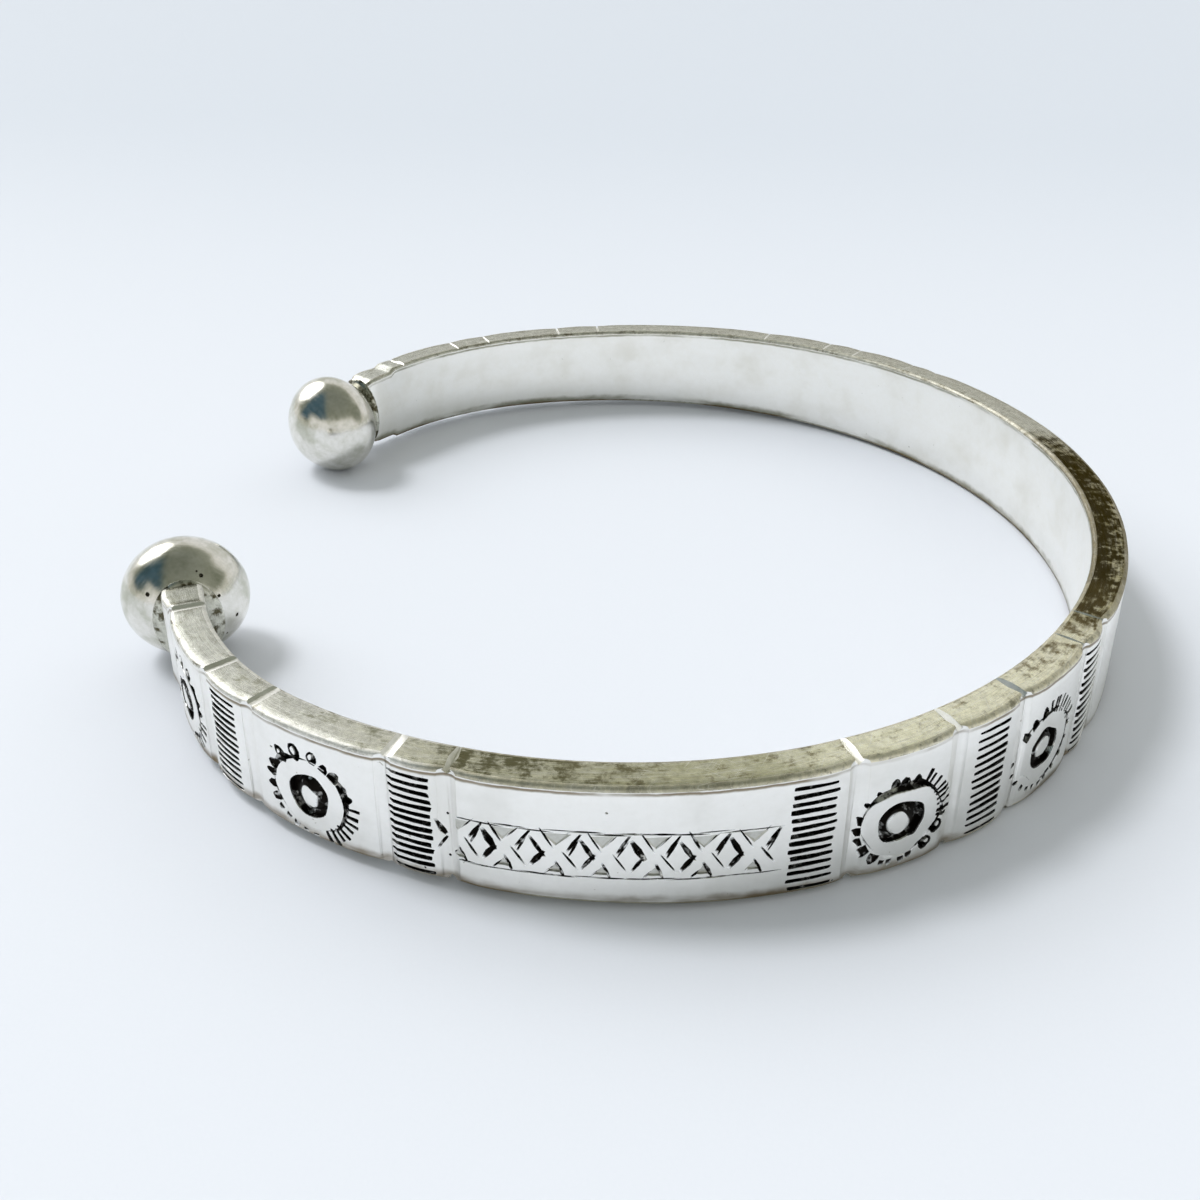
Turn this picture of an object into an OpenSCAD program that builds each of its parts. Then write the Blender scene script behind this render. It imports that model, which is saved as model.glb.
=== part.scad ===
// Open cuff bangle of flat silver bar with a ball knob on each end.
// The bangle lies flat: it rests on both knobs and on the foot of its back, at z = 0.
// +X points away from the gap, +Y to the rear half. The origin is under the middle of its box.

/* [Band] */
// Outside radius of the back, opposite the gap
back_r = 33.4; // [32:0.1:35]
// Turn of the back on each side of its middle, in degrees
back_turn = 45; // [43:1:47]
// Outside radius of each side
side_r = 31.5; // [30:0.1:33]
// Turn of each side in degrees
side_turn = 45; // [43:1:47]
// Outside radius of each shoulder, between side and end
shoulder_r = 33.8; // [32:0.1:36]
// Turn of each shoulder in degrees
shoulder_turn = 26; // [24:1:28]
// Outside radius of each end, where the bar closes towards the gap
end_r = 22.2; // [20:0.1:24]
// Turn of each end in degrees
end_turn = 36; // [33:1:38]
// Thickness of the bar
bar_t = 2.1; // [1.6:0.1:2.6]
// Height of the bar at the ends
end_h = 6.3; // [5.8:0.1:7]
// Lean of the wall in degrees, with the foot further out than the top edge
lean = 2.6; // [0:0.1:4]

/* [Knobs and necks] */
// Diameter of each knob, which is also the height of the bar at the back
knob_d = 7.8; // [7:0.1:9]
// Length of each knob along the bar
knob_l = 6.7; // [6:0.1:7]
// Length of bar between the end arc and the middle of the knob
neck_l = 6.3; // [5:0.1:8]
// Height of the neck where it is soldered into the knob
neck_h = 5.5; // [4.5:0.1:6]

/* [Grooves between the panels] */
// Width of each filed groove on the outer face
groove_w = 1.3; // [0.8:0.1:2]
// Depth of each filed groove on the outer face
groove_d = 0.25; // [0.1:0.05:0.5]
// Width of each notch across the top and bottom edges
notch_w = 0.8; // [0.4:0.1:1.2]
// Depth of each notch across the top and bottom edges
notch_d = 0.3; // [0.1:0.05:0.6]

/* [Hidden] */
$fn = 96;

// Arcs of one half of the outside line, from the middle of the back to the end.
// Columns: radius, turn in degrees
ARCS = [
    [back_r, back_turn],
    [side_r, side_turn],
    [shoulder_r, shoulder_turn],
    [end_r, end_turn],
];
RADIUS = 0;
TURN = 1;

// Lengths along the outside line, from the end arc back to the middle of the back.
// Columns: front half, rear half
PANELS = [
    [0.5, 1.4],    // bare end of the curve, next to the neck
    [7.3, 6.4],    // end rosette
    [4.4, 3.3],    // comb
    [8.8, 7.0],    // large rosette
    [3.4, 3.8],    // comb
    [20.0, 16.2],  // long panel of crossed lozenges
    [5.9, 5.9],    // rosette
    [4.9, 3.0],    // comb
    [6.4, 5.3],    // rosette
    [3.1, 2.4],    // last comb, before the plain back
];
HALVES = [-1, 1];  // side of the X axis for each column

back_h = knob_d;
rim_share = 0.75;  // radius of a knob's round rim, as a share of half its length
span = 200;        // larger than the bangle, for the cutting blocks
notch_l = 20;      // length of a notch's cutter: through the bar, short of the other side
over = 1;          // how far a cutting shape passes the face that it cuts

// Heading of the outward normal where arc i begins
function start_angle(i) = i == 0 ? 0 : start_angle(i - 1) + ARCS[i - 1][TURN];
// Centre of arc i, with the centre of the back arc at the origin
function centre(i) = i == 0 ? [0, 0] : centre(i - 1)
    + (ARCS[i - 1][RADIUS] - ARCS[i][RADIUS]) * [cos(start_angle(i)), sin(start_angle(i))];
// Distance along the outside line to the start of arc i
function start_length(i) = i == 0 ? 0 : start_length(i - 1)
    + ARCS[i - 1][RADIUS] * ARCS[i - 1][TURN] * PI / 180;
// Arc that holds the point at distance s from the middle of the back
function arc_at(s, i = 0) = i == len(ARCS) - 1 || s < start_length(i + 1) ? i : arc_at(s, i + 1);
// Outward heading and place of the outside line at distance s, on the rear half
function heading(s) = let (i = arc_at(s))
    start_angle(i) + (s - start_length(i)) / ARCS[i][RADIUS] * 180 / PI;
function outside(s) = let (i = arc_at(s), a = heading(s))
    centre(i) + ARCS[i][RADIUS] * [cos(a), sin(a)];
// Distance of notch n from the middle of the back, on the half in the given column
function notch_at(n, half) = line_l - sum_to(n, half);
function sum_to(n, half) = n < 0 ? 0 : PANELS[n][half] + sum_to(n - 1, half);

last = len(ARCS) - 1;
line_l = start_length(last) + end_r * end_turn * PI / 180;
end_a = start_angle(last) + end_turn;
end_at = centre(last) + end_r * [cos(end_a), sin(end_a)];
along = [-sin(end_a), cos(end_a)];
inward = -[cos(end_a), sin(end_a)];
knob_at = end_at + bar_t / 2 * inward + neck_l * along;

// Slope of the top and bottom planes: the bar is back_h high at the foot of the back, end_h at the end
foot_x = back_r + back_h / 2 * tan(lean);
taper = atan((back_h - end_h) / 2 / (foot_x - end_at.x));
function half_h(x) = back_h / 2 - (foot_x - x) * tan(taper);

// Ends of the box along X are the foot of the back and the knobs' round side
knob_x = knob_at.x - norm([knob_l / 2 * along.x, knob_d / 2 * along.y]);
middle_x = (foot_x + knob_x) / 2;

// Cross-section of the bar, leaning, with its outside line on the Y axis at mid height
module section() {
    tall = back_h / 2 + over;
    shift = tall * tan(lean);
    polygon([[shift, -tall], [-shift, tall], [-shift - bar_t, tall], [shift - bar_t, -tall]]);
}

// One arc of the bar, from heading a0 and turning by the given angle
module bar_arc(c, r, a0, turn) {
    translate([c.x, c.y, 0]) rotate(a0)
        rotate_extrude(angle = turn) translate([r, 0]) section();
}

// The bar on one half, past the back arc
module half_bar() {
    for (i = [1:last])
        bar_arc(centre(i), ARCS[i][RADIUS], start_angle(i), ARCS[i][TURN]);
}

// Places its children with +X outwards and +Y along the bar, at the end of the arcs
module at_end() {
    translate([end_at.x, end_at.y, 0]) rotate(end_a) children();
}

// Straight neck, tapering in height into the knob
module neck() {
    full = 2 * half_h(end_at.x);
    drop = atan((full - neck_h) / 2 / neck_l);
    at_end() difference() {
        rotate([90, 0, 180]) mirror([1, 0, 0]) linear_extrude(neck_l) section();
        for (up = [0, 1]) mirror([0, 0, up])
            translate([-span / 2, 0, full / 2]) rotate([-drop, 0, 0])
                translate([0, -over, 0]) cube([span, span, span]);
    }
}

// Oval of two round ends and two flatter faces, turned about the bar's own line
module knob() {
    a = knob_d / 2;
    b = knob_l / 2;
    rim_r = rim_share * b;
    face_r = (a * a + b * b - 2 * a * rim_r) / (2 * (b - rim_r));
    meet = (a - rim_r) * face_r / (face_r - rim_r);
    translate([knob_at.x, knob_at.y, 0]) rotate(end_a) rotate([-90, 0, 0])
        rotate_extrude() union() {
            intersection() {
                translate([0, b - face_r]) circle(face_r);
                translate([0, face_r - b]) circle(face_r);
                translate([0, -b]) square([meet, 2 * b]);
            }
            intersection() {
                translate([a - rim_r, 0]) circle(rim_r);
                translate([meet, -b]) square([a, 2 * b]);
            }
        }
}

// Outline of a V cut of width w and depth d into the face on the Y axis, which looks along +X
module v_cut(w, d) {
    half_w = w / 2 * (d + over) / d;
    polygon([[-d, 0], [over, -half_w], [over, half_w]]);
}

// Filed groove down the outer face, and a notch across each edge, at distance s
module groove(s, side) {
    a = heading(s);
    p = outside(s);
    mirror([0, side < 0 ? 1 : 0, 0]) translate([p.x, p.y, 0]) rotate(a) {
        rotate([0, -lean, 0]) linear_extrude(span, center = true) v_cut(groove_w, groove_d);
        for (up = [0, 1]) mirror([0, 0, up]) translate([0, 0, half_h(p.x)]) rotate([0, -90, 0])
            linear_extrude(notch_l, center = true) v_cut(notch_w, notch_d);
    }
}

// Bar, necks and knobs are one solid, as soldered silver is
module cuff_bangle() {
    color("silver") translate([-middle_x, 0, knob_d / 2]) {
        difference() {
            union() {
                bar_arc([0, 0], back_r, -back_turn, 2 * back_turn);
                for (side = [0, 1]) mirror([0, side, 0]) half_bar();
            }
            for (up = [0, 1]) mirror([0, 0, up])
                translate([foot_x, 0, back_h / 2]) rotate([0, -taper, 0])
                    translate([-span + over, -span / 2, 0]) cube([span, span, span]);
            for (half = [0, 1], n = [0:len(PANELS) - 1])
                groove(notch_at(n, half), HALVES[half]);
        }
        for (side = [0, 1]) mirror([0, side, 0]) {
            neck();
            knob();
        }
    }
}

cuff_bangle();
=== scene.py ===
"""Dresses an open silver cuff bangle: a flat bar bent to an oval, with a ball knob on each end.

The bar is worked as a silversmith works it. It is filed and stamped as a flat strip, then bent
round the plan, and the knobs are soldered on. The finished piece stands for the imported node.

On the strip, X is the depth (0 on the outer face, inside below it), Y runs along the bar and is
to the right as seen from outside, with 0 at the middle of the back, and Z is up from mid height.
"""

import logging
import math
import random
from contextlib import contextmanager
from dataclasses import dataclass
from enum import Enum
from typing import Callable, Iterator

import bmesh
import bpy
from mathutils import Matrix, Vector, noise


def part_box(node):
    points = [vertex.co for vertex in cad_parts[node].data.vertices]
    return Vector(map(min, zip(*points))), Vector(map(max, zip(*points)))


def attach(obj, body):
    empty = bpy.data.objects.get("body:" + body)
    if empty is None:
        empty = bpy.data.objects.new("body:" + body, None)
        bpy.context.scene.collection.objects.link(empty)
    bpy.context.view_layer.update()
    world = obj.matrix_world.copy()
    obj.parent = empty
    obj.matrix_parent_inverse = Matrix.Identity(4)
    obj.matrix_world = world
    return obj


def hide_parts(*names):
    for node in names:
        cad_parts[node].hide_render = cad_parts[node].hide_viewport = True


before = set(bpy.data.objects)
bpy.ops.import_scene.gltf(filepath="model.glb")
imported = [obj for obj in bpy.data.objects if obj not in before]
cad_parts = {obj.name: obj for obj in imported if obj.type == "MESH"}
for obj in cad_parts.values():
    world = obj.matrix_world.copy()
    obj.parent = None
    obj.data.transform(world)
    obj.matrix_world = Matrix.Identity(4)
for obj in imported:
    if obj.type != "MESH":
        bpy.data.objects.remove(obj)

LOG = logging.getLogger("cuff_bangle")
MM = 0.001
NODE = "cuff_bangle"

Pair = tuple[float, float]
Triple = tuple[float, float, float]
Item = bpy.types.Object
Socket = bpy.types.NodeSocket
Finishes = dict[str, bpy.types.Material]

# How far the strip reaches from the middle of its back, in millimetres, for the tarnish
STRIP_REACH = 90


class Half(Enum):
    """A half of the bangle, as the sign of Y on it."""

    FRONT = -1
    REAR = 1


class Mark(Enum):
    """A mark that a punch or graver leaves round a rosette."""

    BEAD = "bead"
    NAIL = "nail"
    RAY = "ray"
    FAINT = "faint"
    PIT = "pit"


class Motif(Enum):
    """What a panel of the bar carries."""

    BARE = "bare"
    ROSETTE = "rosette"
    COMB = "comb"
    LOZENGES = "lozenges"


@contextmanager
def editing(piece: Item) -> Iterator[None]:
    """Opens a piece in edit mode, and leaves it in object mode.

    Args:
        piece: The object to edit, which becomes the only selected one.
    """
    pick(piece)
    bpy.ops.object.mode_set(mode="EDIT")
    yield
    bpy.ops.object.mode_set(mode="OBJECT")


def pick_nothing() -> None:
    """Deselects every object."""
    bpy.ops.object.select_all(action="DESELECT")


def pick(*pieces: Item) -> None:
    """Selects these objects and nothing else, and makes the first one active."""
    pick_nothing()
    for piece in pieces:
        piece.select_set(True)
    bpy.context.view_layer.objects.active = pieces[0]


def select(kind: str, test: Callable[[Vector], bool]) -> None:
    """Selects the parts of the mesh being edited that pass a test, and nothing else.

    Args:
        kind: "verts", tested at their place, "edges", tested by direction, or "faces", by normal.
        test: Takes the place, direction or normal.
    """
    bpy.ops.mesh.select_mode(type={"verts": "VERT", "edges": "EDGE", "faces": "FACE"}[kind])
    bpy.ops.mesh.select_all(action="DESELECT")
    mesh = bpy.context.edit_object.data
    sketch = bmesh.from_edit_mesh(mesh)
    for part in getattr(sketch, kind):
        if kind == "verts":
            measure = part.co
        elif kind == "faces":
            measure = part.normal
        else:
            measure = (part.verts[1].co - part.verts[0].co).normalized()
        if test(measure):
            part.select = True
    sketch.select_flush_mode()
    bmesh.update_edit_mesh(mesh)


def move(by: Triple) -> None:
    """Moves what is selected in edit mode."""
    bpy.ops.transform.translate(value=by)


def resize(by: Triple, about: Triple = (0, 0, 0)) -> None:
    """Scales what is selected in edit mode about a point."""
    bpy.ops.transform.resize(value=by, center_override=about)


def added(name: str) -> Item:
    """Names the primitive that was just added, and applies its turn."""
    item = bpy.context.object
    item.name = name
    set_into(item)
    return item


def set_into(piece: Item) -> None:
    """Applies the object's place, turn and scale to its mesh."""
    pick(piece)
    bpy.ops.object.transform_apply(location=True, rotation=True, scale=True)


def cut_with(piece: Item, tools: Item, operation: str = "DIFFERENCE") -> None:
    """Applies a boolean to a piece and removes the tools' object.

    Args:
        piece: The object that is cut or joined to.
        tools: One mesh with all the tools.
        operation: DIFFERENCE or UNION.
    """
    modifier = piece.modifiers.new("cut", "BOOLEAN")
    modifier.operation = operation
    modifier.solver = "EXACT"
    modifier.use_self = operation == "DIFFERENCE"
    modifier.material_mode = "TRANSFER"
    modifier.object = tools
    pick(piece)
    bpy.ops.object.modifier_apply(modifier="cut")
    bpy.data.objects.remove(tools)


@dataclass(frozen=True)
class Arc:
    """One arc of the outside line: its radius in metres and its turn in radians."""

    radius: float
    turn: float


class PlanLine:
    """The outside line of the bar in plan, on the rear half, from the middle of the back."""

    def __init__(self, arcs: list[Arc], centre_x: float) -> None:
        """Works out where each arc starts.

        Args:
            arcs: The arcs from the back to the end.
            centre_x: Where the centre of the back arc lies on the X axis.
        """
        self.arcs = arcs
        self.starts: list[tuple[Vector, float, float]] = []
        centre, angle, length = Vector((centre_x, 0.0)), 0.0, 0.0
        for i, arc in enumerate(arcs):
            if i:
                out = Vector((math.cos(angle), math.sin(angle)))
                centre = centre + (arcs[i - 1].radius - arc.radius) * out
            self.starts.append((centre, angle, length))
            angle += arc.turn
            length += arc.radius * arc.turn
        self.length = length

    def place(self, distance: float) -> tuple[Vector, float]:
        """Finds a point of the outside line.

        Args:
            distance: Distance from the middle of the back, past the last arc straight on.

        Returns:
            The point and the heading of its outward normal.
        """
        spare = max(0.0, distance - self.length)
        distance = min(distance, self.length)
        index = max(i for i, start in enumerate(self.starts) if start[2] <= distance)
        centre, angle, length = self.starts[index]
        radius = self.arcs[index].radius
        heading = angle + (distance - length) / radius
        out = Vector((math.cos(heading), math.sin(heading)))
        along = Vector((-out.y, out.x))
        return centre + radius * out + spare * along, heading


@dataclass(frozen=True)
class Sweep:
    """Marks of one kind along an arc of a rosette, in degrees counter-clockwise from its right."""

    mark: Mark
    start: float
    end: float
    count: int


@dataclass(frozen=True)
class Rosette:
    """A rosette's own hand: where it was struck deeper, where its pip leans, and its marks."""

    deep_way: float
    pip_way: float
    sweeps: tuple[Sweep, ...]


@dataclass(frozen=True)
class Panel:
    """A stretch of the bar between two notches.

    The ornament's middle is at a share of the panel's length, from the notch on the end's side.
    A comb's slots are wider at one end.
    """

    motif: Motif
    front: float
    rear: float
    middle: float = 0.5
    rosette: Rosette | None = None
    heavy_left: bool = False

    def length(self, half: Half) -> float:
        """The panel's length on a half."""
        return self.front if half is Half.FRONT else self.rear


@dataclass(frozen=True)
class BarSizes:
    """Driving sizes of the bar, the same as in the part's source."""

    back: Arc = Arc(33.4 * MM, math.radians(45))
    side: Arc = Arc(31.5 * MM, math.radians(45))
    shoulder: Arc = Arc(33.8 * MM, math.radians(26))
    end: Arc = Arc(22.2 * MM, math.radians(36))
    thickness: float = 2.1 * MM
    end_height: float = 6.3 * MM
    lean: float = math.radians(2.6)
    neck: float = 6.3 * MM
    neck_height: float = 5.5 * MM
    neck_thickness: float = 2.4 * MM
    neck_step: float = 0.25 * MM
    neck_round: float = 1.3 * MM
    neck_straight: float = 2.1 * MM
    neck_swell: float = 1.6 * MM
    knob_length: float = 6.7 * MM
    knob_rim: float = 0.75
    edge_bevel: float = 0.27 * MM
    edge_steps: int = 3
    knob_wander: float = 0.008
    mound: Triple = (2.1 * MM, 2.9 * MM, 0.55 * MM)
    mound_sink: float = 0.1 * MM
    pits: int = 10
    pit_way: Pair = (-0.45 * math.pi, 0.85 * math.pi)
    pit_reach: Pair = (2.0, 3.0)
    pit_size: Pair = (0.07, 0.18)
    pillow: float = 0.08 * MM
    pillow_corner: float = 0.16 * MM
    pillow_reach: float = 1.0 * MM
    hammering: float = 0.02 * MM
    comb_zone: float = 4.0 * MM


END_ROSETTE = Rosette(deep_way=60, pip_way=200, sweeps=(
    Sweep(Mark.BEAD, 140, 60, 4),
    Sweep(Mark.NAIL, 40, 10, 3),
    Sweep(Mark.RAY, -5, -70, 7),
    Sweep(Mark.FAINT, -85, -140, 5),
    Sweep(Mark.NAIL, 205, 160, 4),
))
LARGE_ROSETTE = Rosette(deep_way=75, pip_way=20, sweeps=(
    Sweep(Mark.BEAD, 130, 82, 3),
    Sweep(Mark.NAIL, 62, 16, 4),
    Sweep(Mark.RAY, 2, -66, 8),
    Sweep(Mark.FAINT, -86, -140, 5),
    Sweep(Mark.NAIL, 206, 152, 4),
))
FIRST_BACK_ROSETTE = Rosette(deep_way=60, pip_way=180, sweeps=(
    Sweep(Mark.PIT, 142, 122, 2),
    Sweep(Mark.NAIL, 104, 74, 3),
    Sweep(Mark.RAY, 62, -14, 9),
    Sweep(Mark.BEAD, -30, -52, 2),
    Sweep(Mark.FAINT, -74, -112, 4),
    Sweep(Mark.NAIL, 234, 164, 5),
))
LAST_ROSETTE = Rosette(deep_way=40, pip_way=160, sweeps=(
    Sweep(Mark.NAIL, 140, 100, 3),
    Sweep(Mark.RAY, 88, 24, 8),
    Sweep(Mark.PIT, 4, -58, 4),
    Sweep(Mark.FAINT, -76, -130, 5),
    Sweep(Mark.PIT, 215, 180, 3),
))

PANELS = [
    Panel(Motif.BARE, 0.5 * MM, 1.4 * MM),
    Panel(Motif.ROSETTE, 7.3 * MM, 6.4 * MM, 0.5, END_ROSETTE),
    Panel(Motif.COMB, 4.4 * MM, 3.3 * MM, 0.47, heavy_left=True),
    Panel(Motif.ROSETTE, 8.8 * MM, 7.0 * MM, 0.47, LARGE_ROSETTE),
    Panel(Motif.COMB, 3.4 * MM, 3.8 * MM, 0.4),
    Panel(Motif.LOZENGES, 20.0 * MM, 16.2 * MM),
    Panel(Motif.ROSETTE, 5.9 * MM, 5.9 * MM, 0.45, FIRST_BACK_ROSETTE),
    Panel(Motif.COMB, 4.9 * MM, 3.0 * MM),
    Panel(Motif.ROSETTE, 6.4 * MM, 5.3 * MM, 0.4, LAST_ROSETTE),
    Panel(Motif.COMB, 3.1 * MM, 2.4 * MM, heavy_left=True),
]


class Tool(Enum):
    """A silversmith's tool whose mark is cut into the strip, as the bench's method makes it."""

    ROUND_FILE = "round_file"
    KNIFE_FILE = "knife_file"
    SLANT_FILE = "slant_file"
    CHISEL = "chisel"
    THUMB_PUNCH = "thumb_punch"
    BEAD_PUNCH = "bead_punch"
    RING_PUNCH = "ring_punch"
    RIM_PUNCH = "rim_punch"
    GRAVER = "graver"
    TRIANGLE_PUNCH = "triangle_punch"
    DOT_PUNCH = "dot_punch"


@dataclass(frozen=True)
class Struck:
    """How a kind of rosette mark is struck: its tool, its size, and how far off the ring it is.

    Its length lies along the ring's radius, and a radial one is turned so that its slot does too.
    """

    tool: Tool
    deep: float
    wide: float
    long: float
    out: float
    radial: bool = False


class ToolBench:
    """Models each tool once, at unit size, and strikes copies of it into the flat strip.

    A tool's mark is 1 deep along -X, 1 long along Y and 1 wide along Z, and the tool stands
    out of the face by a further part of its depth.
    """

    clear = 0.8
    waver = (0.05, 0.14)
    waver_scale = 3.1
    waver_seed = 7
    seed_step = 7.3
    rough = ("graved", "stained", "shaded_dull")
    along_x = (0, math.pi / 2, 0)

    def __init__(self, finishes: Finishes) -> None:
        """Models the tools and starts with no marks.

        Vector noise takes its seed from the clock until one is set, so one is set here.

        Args:
            finishes: The materials by name.
        """
        noise.seed_set(self.waver_seed)
        self.finishes = finishes
        self.tools = {tool: getattr(self, tool.value)() for tool in Tool}
        self.marks: list[Item] = []

    def bar(self, name: str, sides: int) -> Item:
        """A round bar along X, for a punch."""
        bpy.ops.mesh.primitive_cylinder_add(
            vertices=sides, radius=0.5, depth=1, rotation=self.along_x)
        return added(name)

    def cone(self, name: str, sides: int, foot: float, head: float) -> Item:
        """A bar along X with a foot of another radius than its head."""
        bpy.ops.mesh.primitive_cone_add(
            vertices=sides, radius1=foot, radius2=head, depth=1, rotation=self.along_x)
        return added(name)

    @staticmethod
    def in_metal(place: Vector) -> bool:
        """Whether a point of a tool lies on the side that cuts."""
        return place.x < 0

    @staticmethod
    def is_floor(normal: Vector) -> bool:
        """Whether a face of a tool looks into the metal."""
        return normal.x < -0.9

    def stand(self) -> None:
        """Sets the foot of the tool being edited to full depth, and its head clear of the face."""
        select("verts", self.in_metal)
        move((-0.5, 0, 0))
        select("verts", lambda place: place.x > 0)
        move((self.clear - 0.5, 0, 0))

    def taper(self, by: Triple, about: Triple = (0, 0, 0)) -> None:
        """Narrows the foot of the tool being edited."""
        select("verts", self.in_metal)
        resize(by, about)

    def hollow(self, insets: Pair, rise: Triple, by: Triple) -> None:
        """Sinks the middle of the tool's floor, which leaves metal standing in its mark.

        Args:
            insets: Width of the rim, and of the hollow's flank at its foot.
            rise: How far the hollow's floor is moved up the tool and aside.
            by: Its size against the foot's.
        """
        select("faces", self.is_floor)
        for width in insets:
            bpy.ops.mesh.inset(thickness=width)
        move(rise)
        resize(by, (0, *rise[1:]))

    def deepen(self, inset: float, rise: float) -> None:
        """Insets the faces that are still selected, and moves them up the tool."""
        bpy.ops.mesh.inset(thickness=inset)
        move((rise, 0, 0))

    def round_file(self) -> Item:
        """A round file held upright, which leaves a shallow hollow down the outer face."""
        bpy.ops.mesh.primitive_cylinder_add(vertices=72, radius=0.5, depth=1)
        return added("round_file")

    def knife_file(self) -> Item:
        """A knife file held along X, with a square section that stands on its corner."""
        return self.bar("knife_file", 4)

    def slant_file(self) -> Item:
        """A knife file leant over, sheer on its left flank and shallow on its right, point down."""
        bpy.ops.mesh.primitive_cube_add(size=1)
        tool = added("slant_file")
        with editing(tool):
            select("verts", lambda place: place.z > 0)
            resize((1, 2, 1))
            move((0, 0.5, 0.5))
            select("verts", lambda place: place.z < 0)
            resize((1, 0, 1))
            move((0, 0, -0.5))
            bpy.ops.mesh.remove_doubles(threshold=0.001)
        return tool

    def chisel(self) -> Item:
        """A flat chisel for one slot of a comb, wider at its right end, with a narrower floor."""
        bpy.ops.mesh.primitive_cube_add(size=1)
        tool = added("chisel")
        with editing(tool):
            self.stand()
            self.taper((1, 0.94, 0.72))
            select("verts", lambda place: place.y < 0)
            resize((1, 1, 0.68))
            select("edges", lambda way: abs(way.x) > 0.9)
            bpy.ops.mesh.bevel(offset=0.12, segments=2, affect="EDGES")
            select("edges", lambda way: abs(way.y) > 0.9)
            bpy.ops.mesh.subdivide(number_cuts=5)
        return tool

    def thumb_punch(self) -> Item:
        """A thumbnail punch, sheer at its inner and right edges and fading to a round outer end."""
        tool = self.bar("thumb_punch", 16)
        sheer = -0.2
        with editing(tool):
            bpy.ops.mesh.select_all(action="SELECT")
            bpy.ops.mesh.bisect(
                plane_co=(0, 0, sheer), plane_no=(0, 0, 1), use_fill=True, clear_inner=True)
            self.stand()
            self.taper((1, 0.8, 1), (0, 0, sheer))
            sketch = bmesh.from_edit_mesh(tool.data)
            for corner in (v for v in sketch.verts if v.select):
                rise = max(0.0, (corner.co.z - sheer) / (0.5 - sheer)) ** 1.5
                corner.co.x = -(1 - 0.85 * rise) * (0.72 + 0.6 * corner.co.y)
            bmesh.update_edit_mesh(tool.data)
        return tool

    def bead_punch(self) -> Item:
        """A crescent punch, thin at its left and inner edges, which leaves a bead in its curve."""
        tool = self.bar("bead_punch", 14)
        with editing(tool):
            self.stand()
            self.taper((1, 0.8, 0.8))
            self.hollow((0.05, 0.02), rise=(0.96, -0.13, 0.03), by=(1, 0.45, 0.5))
            self.deepen(0.01, 0.5)
        return tool

    def ring_punch(self) -> Item:
        """A hollow punch for the well of a rosette, which leaves a pip standing off its middle."""
        tool = self.bar("ring_punch", 40)
        with editing(tool):
            self.stand()
            self.taper((1, 0.93, 0.93))
            self.hollow((0.08, 0.02), rise=(0.92, 0.045, 0), by=(1, 0.66, 0.66))
            self.deepen(0.05, 0.09)
            self.deepen(0.01, 0.5)
        return tool

    def rim_punch(self) -> Item:
        """A hollow punch for the step round a rosette, deepest at the edge of its ring."""
        tool = self.bar("rim_punch", 56)
        with editing(tool):
            select("verts", self.in_metal)
            move((0.5, 0, 0))
            select("verts", lambda place: place.x > 0.1)
            move((self.clear * 3 - 0.5, 0, 0))
            select("faces", self.is_floor)
            self.deepen(0.055, -1)
            self.deepen(0.001, 1 + self.clear * 2)
        return tool

    def graver(self) -> Item:
        """A graver's stroke: a V that starts and ends in a point, deepest past its middle."""
        bpy.ops.mesh.primitive_uv_sphere_add(segments=4, ring_count=2, radius=0.5)
        tool = added("graver")
        with editing(tool):
            select("verts", lambda place: place.x < -0.1)
            move((-0.5, 0.12, 0))
            select("verts", lambda place: abs(place.z) > 0.1)
            move((0, 0.12, 0))
        return tool

    def triangle_punch(self) -> Item:
        """A three-sided punch with a flat, smaller foot, which points down."""
        tool = self.cone("triangle_punch", 3, foot=0.4, head=0.6)
        with editing(tool):
            bpy.ops.mesh.select_all(action="SELECT")
            bpy.ops.transform.rotate(
                value=self.point_down(tool), orient_axis="X", center_override=(0, 0, 0))
            self.stand()
        return tool

    @staticmethod
    def point_down(tool: Item) -> float:
        """The turn about X that brings a three-sided tool's corner to the bottom."""
        corner = max((v.co for v in tool.data.vertices if v.co.x > 0), key=lambda co: abs(co.y))
        away = max((v.co for v in tool.data.vertices if v.co.x > 0), key=lambda co: abs(co.z))
        tip = corner if abs(corner.z) < 0.01 else away
        if abs(tip.y) > abs(tip.z):
            return math.pi / 2 if tip.y > 0 else -math.pi / 2
        return math.pi if tip.z > 0 else 0.0

    def dot_punch(self) -> Item:
        """A round punch with a blunt point."""
        tool = self.cone("dot_punch", 10, foot=0.28, head=0.5)
        with editing(tool):
            self.stand()
        return tool

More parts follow.
